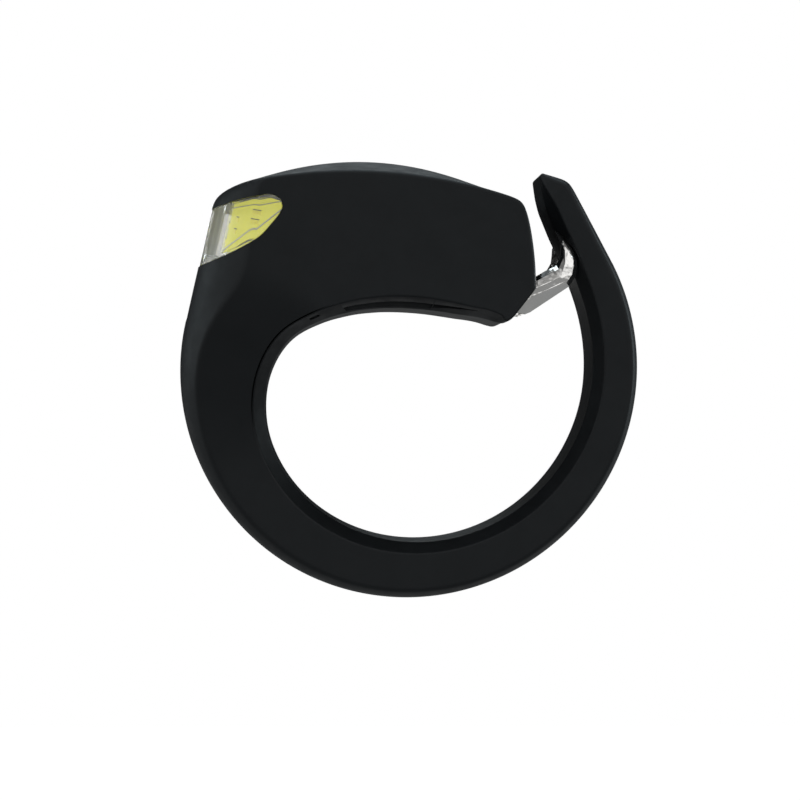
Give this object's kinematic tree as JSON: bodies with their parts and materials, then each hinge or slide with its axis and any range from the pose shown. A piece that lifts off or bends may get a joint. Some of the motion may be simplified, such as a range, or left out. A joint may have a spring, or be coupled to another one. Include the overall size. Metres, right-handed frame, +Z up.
{
  "type": "strap-on bar light",
  "caption": "Small clip-on safety light: silicone jacket and wrap-round strap in one, clear front lens over a yellow light, pinned fork hook, for a 22 mm bar.",
  "frame": {"origin": "middle of the bar loop, halfway along the bar", "axes": "+X from the lens to the hook, +Y along the bar, +Z up through the housing"},
  "size_m": [0.0344, 0.022, 0.0329],
  "materials": {
    "silicone": "satin black silicone",
    "clear_plastic": "clear glossy polycarbonate",
    "case_plastic": "fine matt",
    "seal_rubber": "matt",
    "steel": "brushed",
    "carrier_aluminium": "satin",
    "white_board": "white solder mask",
    "phosphor": "yellow phosphor resin",
    "led_die": "clear resin over a die",
    "board_green": "green solder mask",
    "chip_black": "moulded epoxy",
    "ceramic": "ceramic",
    "ferrite": "ferrite",
    "cell_foil": "foil pouch",
    "foam": "foam",
    "lead_red": "insulation",
    "lead_black": "insulation",
    "flex_amber": "polyimide film",
    "hook_chrome": "polished"
  },
  "bodies": {
    "housing": {"silicone_jacket": "silicone", "lens": "clear_plastic", "case_top": "case_plastic", "case_base": "case_plastic", "case_seal": "seal_rubber", "case_screws": "steel", "led_carrier": "carrier_aluminium", "cob_board": "white_board", "cob_phosphor": "phosphor", "led_dies": "led_die", "main_board": "board_green", "controller_chip": "chip_black", "charger_chip": "chip_black", "chip_parts": "ceramic", "inductor": "ferrite", "charge_led": "white_board", "battery_cell": "cell_foil", "battery_pad": "foam", "battery_lead_red": "lead_red", "battery_lead_black": "lead_black", "led_flex": "flex_amber", "usb_shell": "steel", "usb_tongue": "chip_black", "switch_body": "chip_black", "hook_pin": "steel"},
    "strap_1": {"strap_length_1": "silicone"},
    "strap_2": {"strap_length_2": "silicone"},
    "strap_3": {"strap_length_3": "silicone"},
    "strap_4": {"strap_length_4": "silicone"},
    "strap_5": {"strap_head": "silicone"},
    "hook": {"hook": "hook_chrome"},
    "button": {"switch_plunger": "lead_red", "button_stem": "case_plastic", "button_pad": "silicone"},
    "flap": {"port_flap": "silicone"}
  },
  "joints": [
    {"name": "strap_bend_1", "type": "hinge", "parent": "housing", "child": "strap_1", "pos_m": [-0.01494, 0, -0.0063], "axis": [0, 1, 0], "range_deg": [0, 20], "stiffness_Nm_per_rad": 0.0125, "springref_deg": -17.19},
    {"name": "strap_bend_2", "type": "hinge", "parent": "strap_1", "child": "strap_2", "pos_m": [-0.00793, 0, -0.01171], "axis": [0, 1, 0], "range_deg": [0, 20], "stiffness_Nm_per_rad": 0.0125, "springref_deg": -17.19},
    {"name": "strap_bend_3", "type": "hinge", "parent": "strap_2", "child": "strap_3", "pos_m": [0.0009, 0, -0.01286], "axis": [0, 1, 0], "range_deg": [0, 20], "stiffness_Nm_per_rad": 0.0125, "springref_deg": -17.19},
    {"name": "strap_bend_4", "type": "hinge", "parent": "strap_3", "child": "strap_4", "pos_m": [0.00916, 0, -0.00944], "axis": [0, 1, 0], "range_deg": [0, 20], "stiffness_Nm_per_rad": 0.0125, "springref_deg": -17.19},
    {"name": "strap_bend_5", "type": "hinge", "parent": "strap_4", "child": "strap_5", "pos_m": [0.01467, 0, -0.00233], "axis": [0, 1, 0], "range_deg": [0, 20], "stiffness_Nm_per_rad": 0.0125, "springref_deg": -17.19},
    {"name": "hook_swing", "type": "hinge", "parent": "housing", "child": "hook", "pos_m": [0.0062, 0, 0.0099], "axis": [0, -1, 0], "range_deg": [0, 20]},
    {"name": "button_press", "type": "slide", "parent": "housing", "child": "button", "axis": [0, 0, -1], "range_m": [0, 0.0005], "stiffness_N_per_m": 300, "springref_m": -0.001},
    {"name": "flap_open", "type": "hinge", "parent": "housing", "child": "flap", "pos_m": [-0.0045, 0.011, 0.0105], "axis": [-1, 0, 0], "range_deg": [0, 110], "stiffness_Nm_per_rad": 0.0001, "springref_deg": -17.19}
  ],
  "couplings": [
    {"joint": "strap_bend_2", "follows": "strap_bend_1", "ratio": 1},
    {"joint": "strap_bend_3", "follows": "strap_bend_1", "ratio": 1},
    {"joint": "strap_bend_4", "follows": "strap_bend_1", "ratio": 1},
    {"joint": "strap_bend_5", "follows": "strap_bend_1", "ratio": 1}
  ]
}
